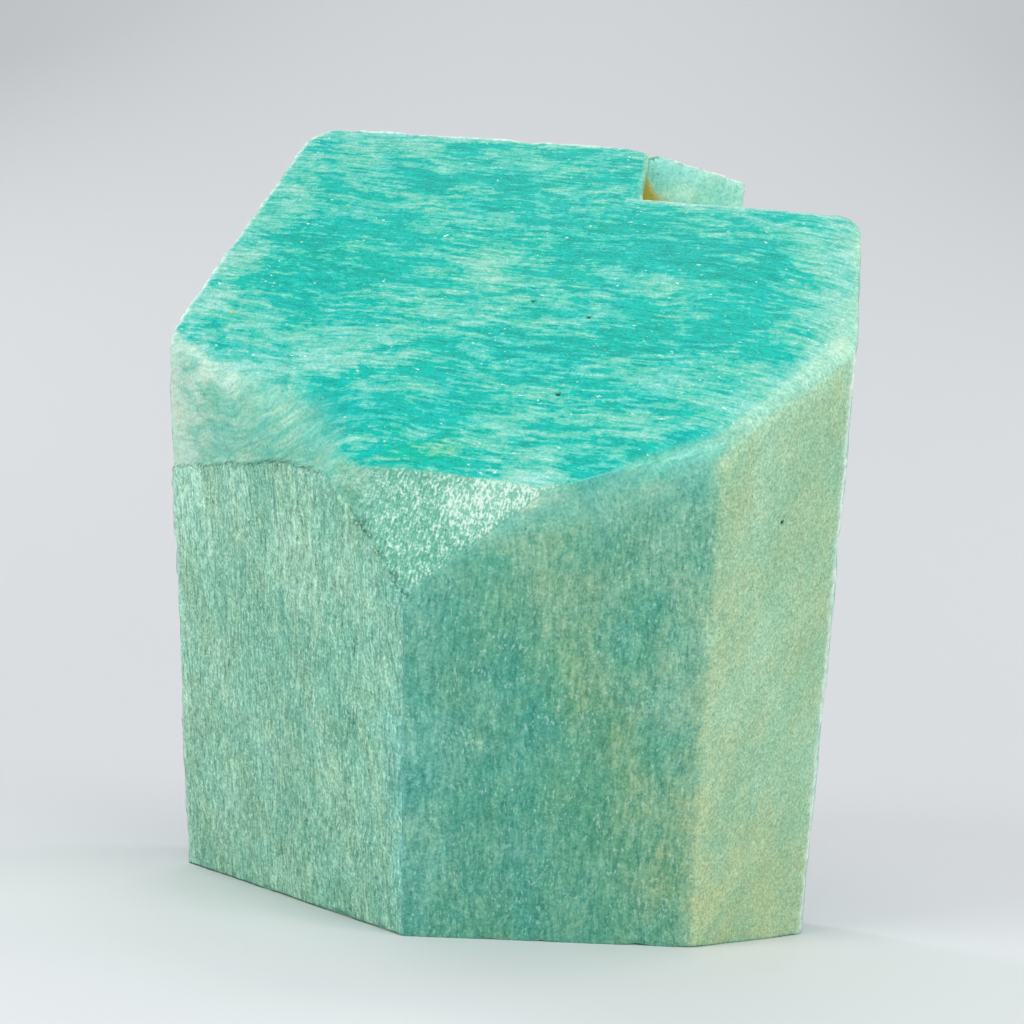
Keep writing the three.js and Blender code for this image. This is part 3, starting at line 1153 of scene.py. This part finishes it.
def crystal_bump(nodes):
    """Fine relief: ridges along the grain on the prism, etching on the triangle, grit everywhere."""
    ridges = nodes.product(nodes.noise("dashes"), nodes.scaled(nodes.mask("left"), 0.22, 0.05))
    grit = nodes.product(nodes.noise("grit"), nodes.scaled(nodes.mask("right"), 0.03, 0.045))
    etching = nodes.product(nodes.noise("needles"), nodes.product(nodes.mask("triangle"), 0.12))
    return nodes.bump(nodes.math("ADD", nodes.math("ADD", ridges, grit), etching))


def amazonite_material():
    nodes = Nodes("amazonite")
    add_places(nodes)
    colour = marked_colour(nodes, crystal_colour(nodes))
    nodes.link(colour, nodes.shader.inputs["Base Color"])
    rough = nodes.scaled(nodes.mask("dome"), -DOME_POLISH, ROUGHNESS)
    rough = nodes.scaled(nodes.mask("triangle"), -TRIANGLE_POLISH, rough)
    nodes.link(rough, nodes.shader.inputs["Roughness"])
    nodes.link(crystal_bump(nodes), nodes.shader.inputs["Normal"])
    set_inputs(nodes.shader, IOR=REFRACTION, Specular_IOR_Level=SPECULAR)
    return nodes.material


# ---- Stage ----

# Soft studio lights: place, where each one points, width and power. The etched triangle mirrors the key.
MIDDLE = (0, 0, 30)
LIGHTS = {
    "key": ((-173, -234, 186), MIDDLE, 110, 0.44),
    "fill": ((270, -190, 130), MIDDLE, 220, 0.41),
    "high": ((20, -215, 250), MIDDLE, 240, 0.32),
    "wall": ((0, 250, 560), (0, 520, 200), 300, 0.6),
    "rim_left": ((-330, 330, 330), MIDDLE, 160, 0.45),
    "rim_right": ((370, 310, 320), MIDDLE, 160, 0.45),
}

# The floor: where it starts and begins to bend, the bend's radius and steps, and how far it goes up and to
# both sides. Then the light from all around.
FLOOR_START = -600.0
FLOOR_BEND = 110.0
BEND_RADIUS = 520.0
BEND_STEPS = 48
FLOOR_REACH = 1100.0
FLOOR_COLOUR = (0.66, 0.67, 0.68, 1)
FLOOR_ROUGHNESS = 0.7
WORLD_COLOUR = (0.93, 0.96, 1.0, 1)
WORLD_STRENGTH = 0.52


def make_camera():
    data = bpy.data.cameras.new("camera")
    data.lens = CAMERA_LENS
    data.sensor_width = CAMERA_SENSOR
    data.clip_start, data.clip_end = CAMERA_CLIP
    camera = add_object("camera", data)
    back = -CAMERA_FORWARD.normalized()
    right = CAMERA_RIGHT - CAMERA_RIGHT.dot(back) * back
    right.normalize()
    turn = Matrix((right, back.cross(right), back)).transposed()
    camera.matrix_world = Matrix.Translation(Vector(CAMERA_AT * MM)) @ turn.to_4x4()
    bpy.context.scene.camera = camera


def make_lights():
    for name, (place, target, width, power) in LIGHTS.items():
        data = bpy.data.lights.new(name, "AREA")
        data.shape = "DISK"
        data.size = width * MM
        data.energy = power
        light = add_object(name, data)
        light.location = Vector(place) * MM
        aim = Vector(target) * MM - light.location
        light.rotation_mode = "QUATERNION"
        light.rotation_quaternion = aim.to_track_quat("-Z", "Y")


def make_floor():
    """A pale floor that curves up into a wall, as one sheet."""
    profile = [(FLOOR_START, 0.0), (FLOOR_BEND, 0.0)]
    for i in range(1, BEND_STEPS + 1):
        angle = math.radians(90 * i / BEND_STEPS)
        profile.append((FLOOR_BEND + BEND_RADIUS * math.sin(angle), BEND_RADIUS * (1 - math.cos(angle))))
    profile.append((FLOOR_BEND + BEND_RADIUS, FLOOR_REACH))
    vertices = [(x * MM, y * MM, z * MM) for y, z in profile for x in (-FLOOR_REACH, FLOOR_REACH)]
    quads = [(2 * i, 2 * i + 1, 2 * i + 3, 2 * i + 2) for i in range(len(profile) - 1)]
    mesh = bpy.data.meshes.new("floor")
    mesh.from_pydata(vertices, [], quads)
    mesh.shade_smooth()
    material = bpy.data.materials.new("floor")
    material.use_nodes = True
    shader = material.node_tree.nodes["Principled BSDF"]
    set_inputs(shader, Base_Color=FLOOR_COLOUR, Roughness=FLOOR_ROUGHNESS)
    mesh.materials.append(material)
    floor = add_object("floor", mesh)


def make_world():
    world = bpy.data.worlds.new("world")
    world.use_nodes = True
    set_inputs(world.node_tree.nodes["Background"], Color=WORLD_COLOUR, Strength=WORLD_STRENGTH)
    bpy.context.scene.world = world


def main():
    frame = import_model()
    bpy.context.scene.view_settings.view_transform = "Standard"
    make_camera()
    make_world()
    make_floor()
    make_lights()
    crystal = make_crystal(frame["nodes"]["crystal"])
    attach(crystal, "root")
    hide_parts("crystal")
    bpy.context.view_layer.update()


main()
